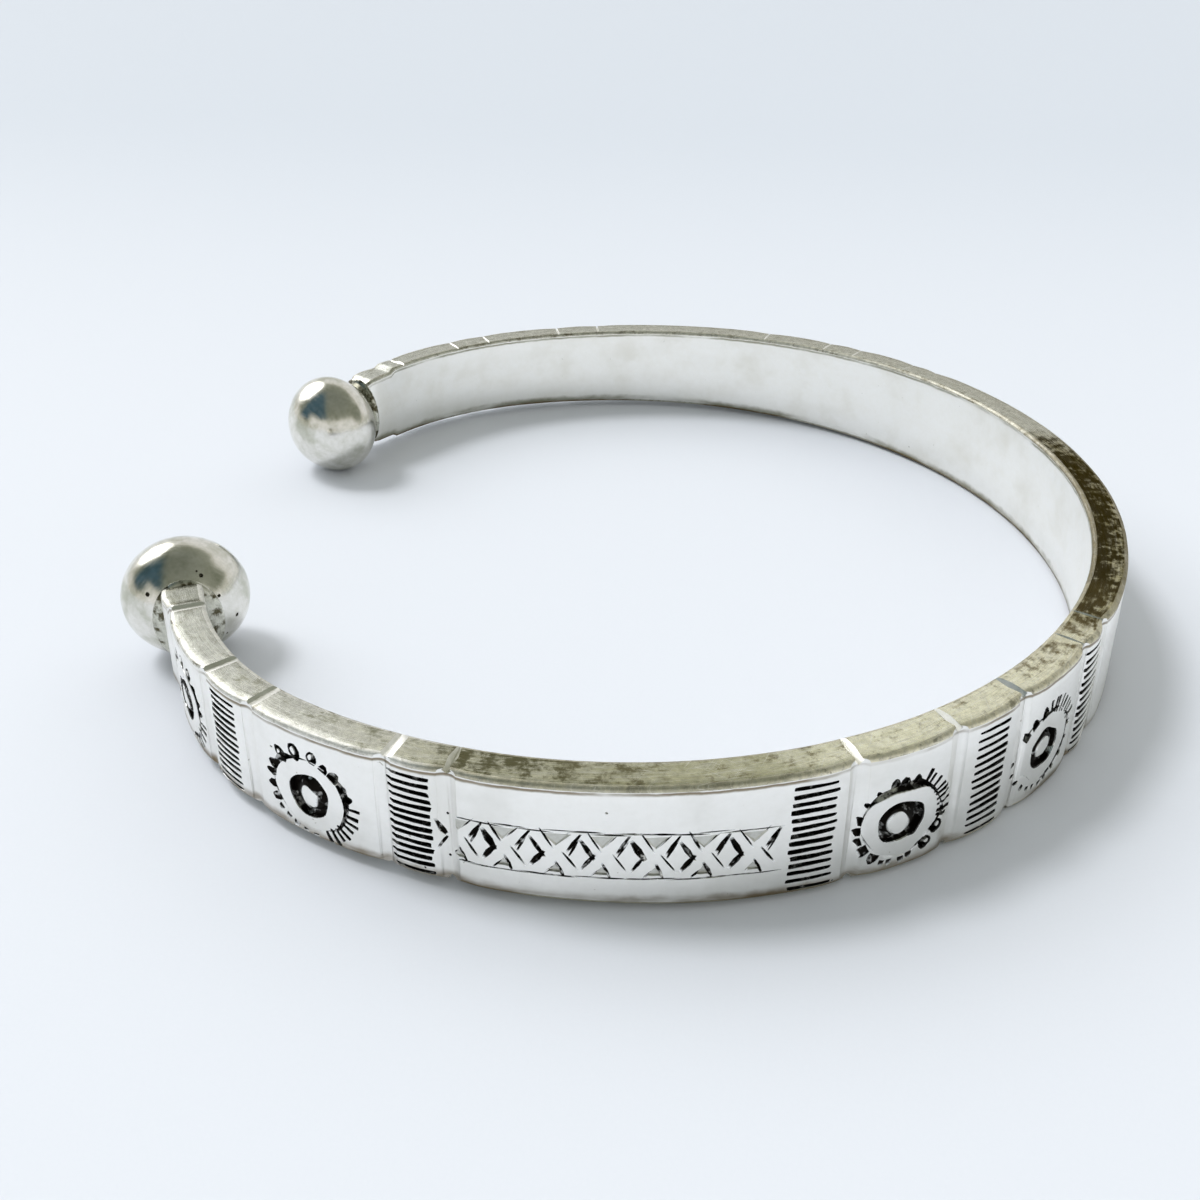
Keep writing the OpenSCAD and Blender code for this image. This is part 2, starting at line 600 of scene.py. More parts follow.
    def strike(
        self,
        tool: Tool,
        at: Triple,
        size: Triple,
        turn: float = 0.0,
        tilt: Pair = (0.0, 0.0),
        finish: str = "graved",
    ) -> None:
        """Puts a copy of a tool where it cuts.

        Args:
            tool: The tool to copy.
            at: Depth, distance along the strip and height of the mark's middle.
            size: Depth, length and width of the mark.
            turn: Turn in the face, counter-clockwise as seen from outside.
            tilt: Turns about Y and Z, in radians, which make one side of the mark deeper.
            finish: The finish that the cut faces take.
        """
        mark = self.tools[tool].copy()
        mark.data = self.tools[tool].data.copy()
        bpy.context.scene.collection.objects.link(mark)
        if finish in self.rough:
            seed = Vector((len(self.marks) * self.seed_step, 1.7, 0.0))
            for corner in mark.data.vertices:
                wobble = noise.noise_vector(corner.co * self.waver_scale + seed)
                corner.co += Vector((0, self.waver[0] * wobble.y, self.waver[1] * wobble.z))
        mark.matrix_world = (
            Matrix.Translation(at)
            @ Matrix.Rotation(tilt[0], 4, "Y")
            @ Matrix.Rotation(tilt[1], 4, "Z")
            @ Matrix.Rotation(turn, 4, "X")
            @ Matrix.Diagonal((*size, 1.0))
        )
        mark.data.materials.append(self.finishes[finish])
        self.marks.append(mark)

    def collect(self) -> Item:
        """Joins the marks made so far into one object, and starts afresh.

        Returns:
            The joined tools.
        """
        marks, self.marks = self.marks, []
        pick(*marks)
        bpy.ops.object.join()
        joined = bpy.context.object
        set_into(joined)
        return joined

    def put_away(self) -> None:
        """Removes the tools themselves."""
        for tool in self.tools.values():
            bpy.data.objects.remove(tool)


class Sketch:
    """Short ways to add nodes to a material's or the world's tree."""

    def __init__(self, tree: bpy.types.NodeTree) -> None:
        """Starts from an empty tree."""
        self.tree = tree
        tree.nodes.clear()

    def node(self, kind: str, **settings: object) -> bpy.types.Node:
        """Adds a node and sets its properties, or its inputs where no property has the name."""
        node = self.tree.nodes.new(kind)
        for name, value in settings.items():
            if hasattr(node, name):
                setattr(node, name, value)
            else:
                node.inputs[name.replace("_", " ")].default_value = value
        return node

    def join(self, source: Socket, target: Socket) -> None:
        """Links an output to an input."""
        self.tree.links.new(source, target)

    def shader(self, **settings: object) -> bpy.types.Node:
        """Adds the surface's shader and the material's output."""
        output = self.node("ShaderNodeOutputMaterial")
        shader = self.node("ShaderNodeBsdfPrincipled", **settings)
        self.join(shader.outputs["BSDF"], output.inputs["Surface"])
        return shader

    def place(self) -> Socket:
        """Object coordinates."""
        return self.node("ShaderNodeTexCoord").outputs["Object"]

    def attribute(self, name: str) -> Socket:
        """A number that the mesh keeps at each point."""
        return self.node("ShaderNodeAttribute", attribute_name=name).outputs["Fac"]

    def axes(self, vector: Socket) -> bpy.types.bpy_prop_collection:
        """The outputs X, Y and Z of a vector."""
        node = self.node("ShaderNodeSeparateXYZ")
        self.join(vector, node.inputs["Vector"])
        return node.outputs

    def along(self, way: Socket, axis: Triple | Vector) -> Socket:
        """The cosine between a direction and a unit axis."""
        node = self.node("ShaderNodeVectorMath", operation="DOT_PRODUCT")
        self.join(way, node.inputs[0])
        node.inputs[1].default_value = axis
        return node.outputs["Value"]

    def noise(self, vector: Socket, scale: Triple | float, detail: float = 3.0,
              rough: float = 0.5, turn: float = 0.0) -> Socket:
        """Noise from 0 to 1, with a scale for all or for each axis of a vector turned about Z."""
        if turn:
            turned = self.node("ShaderNodeMapping")
            turned.inputs["Rotation"].default_value = (0, 0, turn)
            self.join(vector, turned.inputs["Vector"])
            vector = turned.outputs["Vector"]
        mapping = self.node("ShaderNodeMapping")
        mapping.inputs["Scale"].default_value = scale if isinstance(scale, tuple) else (scale,) * 3
        self.join(vector, mapping.inputs["Vector"])
        texture = self.node("ShaderNodeTexNoise", Scale=1.0, Detail=detail, Roughness=rough)
        self.join(mapping.outputs["Vector"], texture.inputs["Vector"])
        return texture.outputs["Fac"]

    def ramp(self, factor: Socket, stops: tuple[tuple[float, Triple], ...]) -> Socket:
        """A colour ramp over a factor."""
        node = self.node("ShaderNodeValToRGB")
        elements = node.color_ramp.elements
        while len(elements) < len(stops):
            elements.new(0.5)
        for element, (position, colour) in zip(elements, stops):
            element.position = position
            element.color = (*colour, 1.0)
        self.join(factor, node.inputs["Fac"])
        return node.outputs["Color"]

    def span(self, value: Socket, low: float, high: float, to: Pair = (0.0, 1.0),
             linear: bool = False) -> Socket:
        """Maps a value's span on to another, and clamps it."""
        kind = "LINEAR" if linear else "SMOOTHSTEP"
        node = self.node("ShaderNodeMapRange", interpolation_type=kind)
        node.inputs["From Min"].default_value = low
        node.inputs["From Max"].default_value = high
        node.inputs["To Min"].default_value = to[0]
        node.inputs["To Max"].default_value = to[1]
        self.join(value, node.inputs["Value"])
        return node.outputs["Result"]

    def math(self, operation: str, a: Socket, b: Socket | float) -> Socket:
        """A math node on a value and a value or number."""
        node = self.node("ShaderNodeMath", operation=operation)
        self.join(a, node.inputs[0])
        if isinstance(b, float):
            node.inputs[1].default_value = b
        else:
            self.join(b, node.inputs[1])
        return node.outputs[0]

    def times(self, a: Socket, b: Socket | float) -> Socket:
        """A product."""
        return self.math("MULTIPLY", a, b)

    def plus(self, a: Socket, b: Socket | float) -> Socket:
        """A sum."""
        return self.math("ADD", a, b)

    def mix(self, factor: Socket, a: Socket | tuple, b: Socket | tuple,
            blend: str = "MIX") -> Socket:
        """Mixes two colours, each a socket or three numbers."""
        node = self.node("ShaderNodeMix", data_type="RGBA", blend_type=blend)
        self.join(factor, node.inputs["Factor"])
        for name, colour in (("A", a), ("B", b)):
            socket = next(s for s in node.inputs if s.name == name and s.type == "RGBA")
            if isinstance(colour, tuple):
                socket.default_value = (*colour, 1.0)
            else:
                self.join(colour, socket)
        return next(s for s in node.outputs if s.type == "RGBA")

    def bump(self, height: Socket, depth: float) -> Socket:
        """A bump of a depth in metres from a height of 0 to 1."""
        node = self.node("ShaderNodeBump", Strength=1.0, Distance=depth)
        self.join(height, node.inputs["Height"])
        return node.outputs["Normal"]


@dataclass(frozen=True)
class Tarnish:
    """Colour along the filed edges as ramps over the strip, from its front end to its rear end.

    Zones are the film's colour, stains the colour of the patches, and loads how much they cover.
    """

    zones: tuple[tuple[float, Triple], ...]
    stains: tuple[tuple[float, Triple], ...]
    loads: tuple[Pair, ...]


@dataclass(frozen=True)
class GrimeAndShade:
    """A brown line under the top edge, dirt and painted shade along the foot, with reaches in
    millimetres.
    """

    colour: Triple
    line_starts: Pair = (0.34, 0.4)
    line_ends: Pair = (0.6, 0.46)
    # How far the brown along the foot reaches, partly dirt and partly painted contact shade.
    foot_reach: float = 0.55
    # The painted shade that darkens the wall towards the foot: its colour, its reach and its share.
    foot_shade: Triple = (0.58, 0.58, 0.54)
    foot_shade_reach: Pair = (2.8, 0.2)
    foot_shade_share: float = 0.18
    speck_share: float = 0.5


@dataclass(frozen=True)
class Scratch:
    """A direction of the file's scratches: its turn, how fine they are, and whether they shine."""

    turn: float
    fineness: float
    bright: bool = True


SCRATCHES = (
    Scratch(0.16, 26.0),
    Scratch(-0.3, 34.0),
    Scratch(0.9, 22.0),
    Scratch(-0.7, 30.0),
    Scratch(0.04, 30.0, bright=False),
)


@dataclass(frozen=True)
class Silver:
    """A finish of silver, clean where it rubs and tarnished where it does not.

    The streaks follow the strip's own UV map, in millimetres along and round the bar.
    """

    name: str
    clean: Triple = (0.93, 0.93, 0.91)
    dull: Triple = (0.74, 0.74, 0.70)
    dull_share: Pair = (0.5, 0.8)
    cloud: float = 260.0
    grain: float = 0.35
    roughness: Pair = (0.2, 0.34)
    streak: Pair = (0.35, 9.0)
    streak_depth: float = 0.002 * MM
    recess: bool = False
    patches: Pair = (0.3, 0.46)
    tint: Triple = (1.0, 1.0, 1.0)
    tarnish: Tarnish | None = None
    grime_and_shade: GrimeAndShade | None = None
    black: Triple = (0.012, 0.010, 0.008)
    dark_scratch: Triple = (0.10, 0.085, 0.05)

    def material(self) -> bpy.types.Material:
        """Builds the material.

        Returns:
            The new material.
        """
        material = bpy.data.materials.new(self.name)
        material.use_nodes = True
        sketch = Sketch(material.node_tree)
        shader = sketch.shader(Metallic=1.0)
        shader.inputs["Specular Tint"].default_value = (*self.tint, 1.0)
        place = sketch.place()
        strip = sketch.node("ShaderNodeUVMap", uv_map="strip").outputs["UV"]

        clouds = sketch.noise(place, self.cloud, detail=4.0, rough=0.6)
        streaks = sketch.noise(strip, (*self.streak, 1.0), detail=5.0, rough=0.65)
        colour = sketch.mix(sketch.span(clouds, *self.dull_share), self.clean, self.dull)
        grain = sketch.noise(place, 2200.0, detail=5.0, rough=0.7)
        colour = sketch.mix(sketch.span(grain, 0.35, 0.7, (0.0, self.grain)), colour, self.dull)
        if self.tarnish:
            colour = self.tarnished(sketch, place, strip, colour)
        if self.grime_and_shade:
            colour = self.grimed_and_shaded(sketch, place, strip, colour)
        rough = sketch.span(streaks, 0.3, 0.7, self.roughness)
        if self.recess:
            colour, rough = self.blackened(sketch, place, colour, rough)
        sketch.join(colour, shader.inputs["Base Color"])
        sketch.join(rough, shader.inputs["Roughness"])
        sketch.join(sketch.bump(streaks, self.streak_depth), shader.inputs["Normal"])
        return material

    def tarnished(self, sketch: Sketch, place: Socket, strip: Socket, colour: Socket) -> Socket:
        """Olive and brown tarnish over the filed edges, with fine file scratches.

        Args:
            sketch: The node tree.
            place: Object coordinates.
            strip: The strip's UV map.
            colour: The clean colour.

        Returns:
            The tarnished colour.
        """
        wander = sketch.span(sketch.noise(place, 260.0), 0.2, 0.8, (-3.0, 3.0))
        along = sketch.plus(sketch.axes(strip)["X"], wander)
        along = sketch.span(along, -STRIP_REACH, STRIP_REACH, linear=True)
        zones = sketch.ramp(along, self.tarnish.zones)
        film = sketch.noise(place, 2600.0, detail=5.0, rough=0.75)
        rubbed = sketch.noise(strip, (0.5, 5.0, 1.0), detail=6.0, rough=0.72, turn=0.05)
        colour = sketch.mix(sketch.span(rubbed, 0.3, 0.6, (0.65, 1.0)), colour, zones)
        grain = sketch.span(film, 0.3, 0.7, (0.70, 1.14), linear=True)
        shade = sketch.node("ShaderNodeCombineColor")
        for part in ("Red", "Green", "Blue"):
            sketch.join(grain, shade.inputs[part])
        colour = sketch.mix(sketch.span(film, 0.0, 0.01), colour, shade.outputs["Color"], "MULTIPLY")

        load = sketch.ramp(along, tuple((at, (share,) * 3) for at, share in self.tarnish.loads))
        heavy = self.stained(sketch, place, rubbed, load)
        colour = sketch.mix(heavy, colour, sketch.ramp(along, self.tarnish.stains))
        bare = sketch.span(load, 0.75, 0.15, (0.0, 0.7))
        for scratch in SCRATCHES:
            lines = sketch.noise(strip, (0.4, scratch.fineness, 1.0), detail=2.0, turn=scratch.turn)
            strength = sketch.times(sketch.span(lines, 0.64, 0.70), bare)
            colour = sketch.mix(strength, colour, self.clean if scratch.bright else self.dark_scratch)
        return colour

    def stained(self, sketch: Sketch, place: Socket, rubbed: Socket, load: Socket) -> Socket:
        """How much the heavy stains cover, more towards the inner edge.

        Args:
            sketch: The node tree.
            place: Object coordinates.
            rubbed: The streaks along the bar.
            load: How stained this stretch is.

        Returns:
            The cover, from 0 to nearly 1.
        """
        spots = sketch.noise(place, 1150.0, detail=7.0, rough=0.75)
        heavy = sketch.plus(sketch.times(spots, 0.75), sketch.times(rubbed, 0.25))
        inward = sketch.times(sketch.span(sketch.attribute("depth"), 0.2, 0.9), load)
        cover = sketch.plus(sketch.times(load, 0.16), sketch.times(inward, 0.06))
        return sketch.span(sketch.plus(heavy, cover), 0.56, 0.69, (0.0, 0.93))

    def grimed_and_shaded(self, sketch: Sketch, place: Socket, strip: Socket, colour: Socket) -> Socket:
        """A thin brown line under the top edge, patchy dirt and painted contact shade along the foot,
        and painted shade that darkens the wall towards the foot.

        Args:
            sketch: The node tree.
            place: Object coordinates.
            strip: The strip's UV map.
            colour: The clean colour.

        Returns:
            The colour with the line, the dirt and the painted shade.
        """
        grime_and_shade = self.grime_and_shade
        patches = sketch.noise(strip, (0.12, 0.5, 1.0), detail=4.0, rough=0.6)
        wobble = sketch.times(sketch.noise(place, 900.0), 0.16)
        rim = sketch.plus(sketch.attribute("rim"), wobble)
        foot = sketch.plus(sketch.attribute("foot"), sketch.times(wobble, -3.0))
        line = sketch.times(sketch.span(rim, *grime_and_shade.line_starts), sketch.span(rim, *grime_and_shade.line_ends))
        line = sketch.times(line, sketch.span(patches, 0.36, 0.56, (0.1, 0.9)))
        colour = sketch.mix(line, colour, grime_and_shade.colour)
        # Painted shade: the wall darkens towards the foot, standing in for the shadowed floor that it
        # mirrors.
        shaded_dull = sketch.span(foot, *grime_and_shade.foot_shade_reach, (0.0, grime_and_shade.foot_shade_share))
        colour = sketch.mix(shaded_dull, colour, grime_and_shade.foot_shade)
        # Patchy brown along the foot itself: partly dirt, partly painted contact shade.
        low = sketch.times(sketch.span(foot, grime_and_shade.foot_reach, 0.0), sketch.span(patches, 0.3, 0.6))
        colour = sketch.mix(low, colour, grime_and_shade.colour)
        specks = sketch.noise(place, 2600.0, detail=2.0)
        return sketch.mix(sketch.span(specks, 0.75, 0.80, (0.0, grime_and_shade.speck_share)), colour,
                          grime_and_shade.colour)

    def blackened(self, sketch: Sketch, place: Socket, colour: Socket,
                  rough: Socket) -> tuple[Socket, Socket]:
        """Black sulphide in the depth of the marks, patchy on their floors.

        Args:
            sketch: The node tree.
            place: Object coordinates.
            colour: The colour of bare silver.
            rough: The roughness of bare silver.

        Returns:
            The colour and the roughness.
        """
        patches = sketch.noise(place, 1900.0)
        black = sketch.times(sketch.span(sketch.attribute("recess"), 0.04, 0.26),
                             sketch.span(patches, *self.patches, (0.25, 1.0)))
        colour = sketch.mix(black, colour, self.black)
        return colour, sketch.math("MAXIMUM", rough, sketch.times(black, 0.6))


@dataclass(frozen=True)
class Table:
    """The pale surface that the bangle lies on, with painted shade that darkens it farther back."""

    colour: Triple = (0.662, 0.688, 0.746)
    far_shaded_colour: Triple = (0.570, 0.608, 0.672)
    fades_over: float = 180 * MM
    size: float = 4.0
    tooth: float = 5200.0
    tooth_colour: Triple = (0.975, 0.98, 0.985)
    tooth_depth: float = 0.002 * MM

    def build(self) -> Item:
        """Adds the floor plane with a fine paper tooth.

        Returns:
            The floor.
        """
        pick_nothing()
        bpy.ops.mesh.primitive_plane_add(size=self.size, location=(0, 0, 0))
        floor = bpy.context.object
        floor.name = "table"
        material = bpy.data.materials.new("pale_table")
        material.use_nodes = True
        sketch = Sketch(material.node_tree)
        shader = sketch.shader(Roughness=0.6)
        shader.inputs["Specular IOR Level"].default_value = 0.2
        place = sketch.place()
        tooth = sketch.noise(place, self.tooth, detail=2.0)
        # Painted shade: the floor darkens farther back, standing in for the light falling off.
        far = sketch.span(sketch.axes(place)["Y"], 0.0, self.fades_over)
        paper = sketch.mix(far, self.colour, self.far_shaded_colour)
        paper = sketch.mix(tooth, paper, self.tooth_colour, "MULTIPLY")
        sketch.join(paper, shader.inputs["Base Color"])
        sketch.join(sketch.bump(tooth, self.tooth_depth), shader.inputs["Normal"])
        floor.data.materials.append(material)
        return floor


class Ornament:
    """The marks of the outer face: notches, combs, rosettes and the rows of crossed lozenges."""

    file_error = 0.15
    groove_radius = 1.1 * MM
    groove_depth = 0.13 * MM
    notch_width = 0.52 * MM
    notch_depth = 0.24 * MM
    notch_tilt = (0.11, 0.15)
    slant_width = 0.7 * MM
    slant_depth = 0.16 * MM
    slant_from = 57 * MM
    faint_from = 75 * MM
    back_reach = 21 * MM
    faint_share = 0.45
    slots = 14
    slot_size = (0.3 * MM, 2.4 * MM, 0.36 * MM)
    ring = (2.3 * MM, 2.12 * MM)
    well = (1.4 * MM, 1.32 * MM)
    well_depth = 0.34 * MM
    marks = {
        Mark.BEAD: Struck(Tool.BEAD_PUNCH, 0.38 * MM, 0.82 * MM, 1.0 * MM, 0.38 * MM),
        Mark.NAIL: Struck(Tool.THUMB_PUNCH, 0.3 * MM, 0.66 * MM, 0.95 * MM, 0.16 * MM),
        Mark.RAY: Struck(Tool.CHISEL, 0.24 * MM, 0.3 * MM, 0.95 * MM, 0.38 * MM, radial=True),
        Mark.FAINT: Struck(Tool.THUMB_PUNCH, 0.07 * MM, 0.42 * MM, 0.55 * MM, 0.3 * MM),
        Mark.PIT: Struck(Tool.DOT_PUNCH, 0.3 * MM, 0.42 * MM, 0.5 * MM, 0.38 * MM),
    }
    cell_pitch = 2.39 * MM
    row_height = -0.5 * MM
    row_width = 2.68 * MM
    ring_below_row = 0.15 * MM
    ring_lean = 0.06
    rim_depth = 0.16 * MM
    rim_lift = 0.02 * MM
    rim_share = 2.24
    comb_share = 0.9
    comb_drop = 0.03
    fade_above = 0.72
    fade_below = 0.92
    line_size = (0.05 * MM, 0.1 * MM)
    end_dot = (0.2 * MM, 0.24 * MM, 0.24 * MM)
    dents = 20
    dent_up = (-0.47, 0.42)
    dent_width = (0.08, 0.2)
    dent_depth = (0.03, 0.08)
    dent_stretch = (1.0, 2.5)

    def __init__(self, bench: ToolBench, thickness: float,
                 height_at: Callable[[float], float]) -> None:
        """Keeps the bench and the strip's sizes.

        Args:
            bench: The tools.
            thickness: Thickness of the strip.
            height_at: Height of the strip at a distance from the middle of the back.
        """
        self.bench = bench
        self.thickness = thickness
        self.height_at = height_at
        self.chance = random.Random(7)

    def about(self, value: float, share: float) -> float:
        """A value with a hand's error, as a share of it."""
        return value * (1 + self.chance.uniform(-share, share))

    def off(self, reach: float) -> float:
        """A hand's error, up to a reach in millimetres."""
        return self.chance.uniform(-reach, reach) * MM

    def notch(self, y: float) -> None:
        """Files the hollow down the outer face and a notch across the top and bottom edges."""
        height = self.height_at(abs(y))
        deep = self.about(self.groove_depth, self.file_error)
        through = 4 * self.thickness
        self.bench.strike(
            Tool.ROUND_FILE,
            (self.groove_radius - deep, y, 0),
            (2 * self.groove_radius, 2 * self.groove_radius, 2 * height),
            finish="wall")
        for up in (-1, 1):
            middle = (-self.thickness / 2, y, up * height / 2)
            turn = 0.0 if up > 0 else math.pi
            if -y > self.slant_from:
                self.bench.strike(
                    Tool.SLANT_FILE, middle,
                    (through, self.slant_width, self.about(self.slant_depth, self.file_error)),
                    turn=turn, tilt=(0.0, math.pi if up < 0 else 0.0), finish="cut")
                continue
            faint = 0 < y < self.faint_from or abs(y) < self.back_reach
            share = self.faint_share if faint else 1.0
            self.bench.strike(
                Tool.KNIFE_FILE, middle,
                (through, share * self.notch_width,
                 2 * share * self.about(self.notch_depth, self.file_error)),
                tilt=(up * share * self.chance.uniform(*self.notch_tilt), 0.0), finish="cut")

    def dent(self, reach: float) -> None:
        """Makes one small knock in the outer face.

        Args:
            reach: How far from the middle of the back the knocks go.
        """
        y = self.chance.uniform(-reach, reach)
        height = self.height_at(abs(y))
        width = self.chance.uniform(*self.dent_width) * MM
        # Most knocks take the darker grey finish, partly tarnish and partly painted shade; the rest are
        # blackened.
        self.bench.strike(
            Tool.DOT_PUNCH,
            (0, y, self.chance.uniform(*self.dent_up) * height),
            (self.chance.uniform(*self.dent_depth) * MM,
             width * self.chance.uniform(*self.dent_stretch), width),
            turn=self.chance.uniform(0, math.pi),
            finish=self.chance.choice(["shaded_dull", "shaded_dull", "graved"]))

    def comb(self, y: float, heavy_left: bool) -> None:
        """Stamps a comb of level slots from edge to edge, fainter at the top and bottom.

        Args:
            y: The middle of the comb.
            heavy_left: Whether the slots are wider at the left end.
        """
        deep, long, wide = self.slot_size
        height = self.height_at(abs(y))
        pitch = self.comb_share * height / self.slots
        middle = -self.comb_drop * height
        for i in range(self.slots):
            from_middle = i - (self.slots - 1) / 2
            loss = self.fade_above if from_middle > 0 else self.fade_below
            fade = 1 - loss * abs(from_middle / (self.slots / 2)) ** 3
            self.bench.strike(
                Tool.CHISEL,
                (0, y + self.off(0.06), middle + from_middle * pitch + self.off(0.02)),
                (deep * fade, self.about(long, 0.03), self.about(wide, 0.12) * (0.6 + 0.4 * fade)),
                turn=(math.pi if heavy_left else 0) + self.chance.uniform(-0.02, 0.02))

    def rosette(self, y: float, design: Rosette) -> None:
        """Stamps a rosette: a ring round a well with a pip, and its marks all round.

        Args:
            y: The middle of the rosette.
            design: Its own hand.
        """
        z = self.row_height - self.ring_below_row
        deep_way = math.radians(design.deep_way)
        lean = (-self.ring_lean * math.sin(deep_way), self.ring_lean * math.cos(deep_way))
        self.bench.strike(
            Tool.RING_PUNCH, (0, y, z),
            (self.well_depth, 2 * self.well[0], 2 * self.well[1]),
            turn=math.radians(design.pip_way), tilt=lean)
        self.bench.strike(
            Tool.RIM_PUNCH, (self.rim_lift, y, z),
            (self.rim_depth, self.rim_share * self.ring[0], self.rim_share * self.ring[1]),
            tilt=lean, finish="stained")
        for sweep in design.sweeps:
            for i in range(sweep.count):
                degrees = sweep.start + (sweep.end - sweep.start) * i / (sweep.count - 1)
                self.ring_mark(sweep.mark, y, z, math.radians(degrees + self.chance.uniform(-2, 2)))

    def ring_mark(self, mark: Mark, y: float, z: float, angle: float) -> None:
        """Strikes one mark of a rosette's edge, with a hand's errors.

        Args:
            mark: Its kind.
            y: The middle of the rosette.
            z: Its height.
            angle: Where the mark lies, counter-clockwise from the right.
        """
        kind = self.marks[mark]
        out = kind.out + self.off(0.04)
        deep, wide, long = (self.about(size, 0.18) for size in (kind.deep, kind.wide, kind.long))
        self.bench.strike(
            kind.tool,
            (0, y + (self.ring[0] + out) * math.cos(angle), z + (self.ring[1] + out) * math.sin(angle)),
            (deep, long, wide) if kind.radial else (deep, wide, long),
            turn=angle - (0 if kind.radial else math.pi / 2) + self.chance.uniform(-0.08, 0.08))

    def lozenge_row(self, left: float, right: float) -> None:
        """Graves the row of crosses with a flat lozenge between each two, and half ones at its ends.

        Args:
            left: The first crossing.
            right: The last crossing.
        """
        cells = max(2, round((right - left) / self.cell_pitch))
        pitch = (right - left) / cells
        for i in range(cells + 1):
            self.crossing(left + i * pitch + self.off(0.08), pitch)
        for i in range(-1, cells + 1):
            sides = [0, 1, 2, 3]
            if i < 0:
                sides = [1, 2]
            elif i == cells:
                sides = [0, 3]
            self.lozenge(left + (i + 0.5) * pitch + self.off(0.06), pitch, sides)
        for up in (-1, 1):
            self.bench.strike(
                Tool.DOT_PUNCH,
                (0, left - 0.2 * pitch, self.row_height + up * 0.48 * self.row_width),
                self.end_dot)
            z = self.row_height + up * self.row_width / 2
            steps = 2 * cells + 1
            for i in range(steps):
                y = left - pitch / 3 + (right - left + 2 * pitch / 3) * (i + 0.5) / steps
                self.bench.strike(
                    Tool.GRAVER,
                    (0, y, z + self.off(0.06)),
                    (self.line_size[0], 2.2 * (right - left) / steps,
                     self.about(self.line_size[1], 0.4)),
                    turn=self.chance.uniform(-0.03, 0.03))

    def lozenge(self, y: float, pitch: float, sides: list[int]) -> None:
        """Cuts the sides of one lozenge, deep on the right and at the left corner.

        Args:
            y: The middle of the lozenge.
            pitch: Distance between two crossings.
            sides: Which sides are cut: 0 upper left, 1 upper right, 2 lower right, 3 lower left.
        """
        left, right = (-0.3 * pitch, 0.0), (0.28 * pitch, -0.03 * pitch)
        top = (-0.01 * pitch, 0.41 * self.row_width)
        foot = (0.0, -0.39 * self.row_width)
        strokes = [
            (top, left, 0.22, 0.24),
            (right, top, 0.26, 0.34),
            (right, foot, 0.22, 0.28),
            (left, foot, 0.1, 0.13),
        ]
        for number in sides:
            start, end, deep, wide = strokes[number]
            self.stroke(y, start, end, deep * MM, wide * MM)
        if 0 in sides:
            self.stroke(y, (-0.2 * pitch, 0.02 * pitch), (0.02 * pitch, 0.42 * self.row_width),
                        0.1 * MM, 0.14 * MM)

    def stroke(self, y: float, start: Pair, end: Pair,
               deep: float, wide: float) -> None:
        """One stroke of the graver between two points of the row, heavier at its start.

        Args:
            y: The middle that the points are measured from.
            start: Where the stroke is heavier, along and up.
            end: Where it runs out.
            deep: Its depth.
            wide: Its width.
        """
        along, up = start[0] - end[0], start[1] - end[1]
        length = math.hypot(along, up)
        middle = (y + (start[0] + end[0]) / 2, self.row_height + (start[1] + end[1]) / 2)
        self.bench.strike(
            Tool.GRAVER,
            (0, middle[0] + self.off(0.03), middle[1] + self.off(0.03)),
            (self.about(deep, 0.2), 1.2 * length, self.about(wide, 0.25)),
            turn=math.atan2(up, along) + self.chance.uniform(-0.05, 0.05))

    def crossing(self, y: float, pitch: float) -> None:
        """Sinks the triangles above and below a crossing, the upper one shallow.

        Args:
            y: The crossing.
            pitch: Distance between two crossings.
        """
        top = self.row_height + 0.36 * self.row_width
        foot = self.row_height - 0.36 * self.row_width
        # Both sunk triangles take the darker grey finish, partly tarnish and partly painted shade.
        self.bench.strike(Tool.TRIANGLE_PUNCH, (0, y + self.off(0.05), top),
                          (0.06 * MM, self.about(0.62, 0.15) * pitch, 0.34 * self.row_width),
                          tilt=(0.0, self.chance.uniform(0.02, 0.06)), finish="shaded_dull")
        self.stroke(y, (-0.25 * pitch, 0.48 * self.row_width), (0.02 * pitch, 0.04 * self.row_width),
                    0.12 * MM, 0.13 * MM)
        self.stroke(y, (0.3 * pitch, 0.48 * self.row_width), (0.0, 0.18 * self.row_width),
                    0.05 * MM, 0.1 * MM)
        self.bench.strike(Tool.TRIANGLE_PUNCH, (0, y, foot),
                          (0.1 * MM, self.about(0.34, 0.2) * pitch, 0.24 * self.row_width),
                          turn=math.pi, finish="shaded_dull")
        self.stroke(y, (0.16 * pitch, -0.46 * self.row_width), (0.0, -0.12 * self.row_width),
                    0.16 * MM, 0.22 * MM)
        self.stroke(y, (-0.02 * pitch, -0.3 * self.row_width),
                    (self.about(-0.22, 0.3) * pitch, -0.52 * self.row_width), 0.12 * MM, 0.14 * MM)


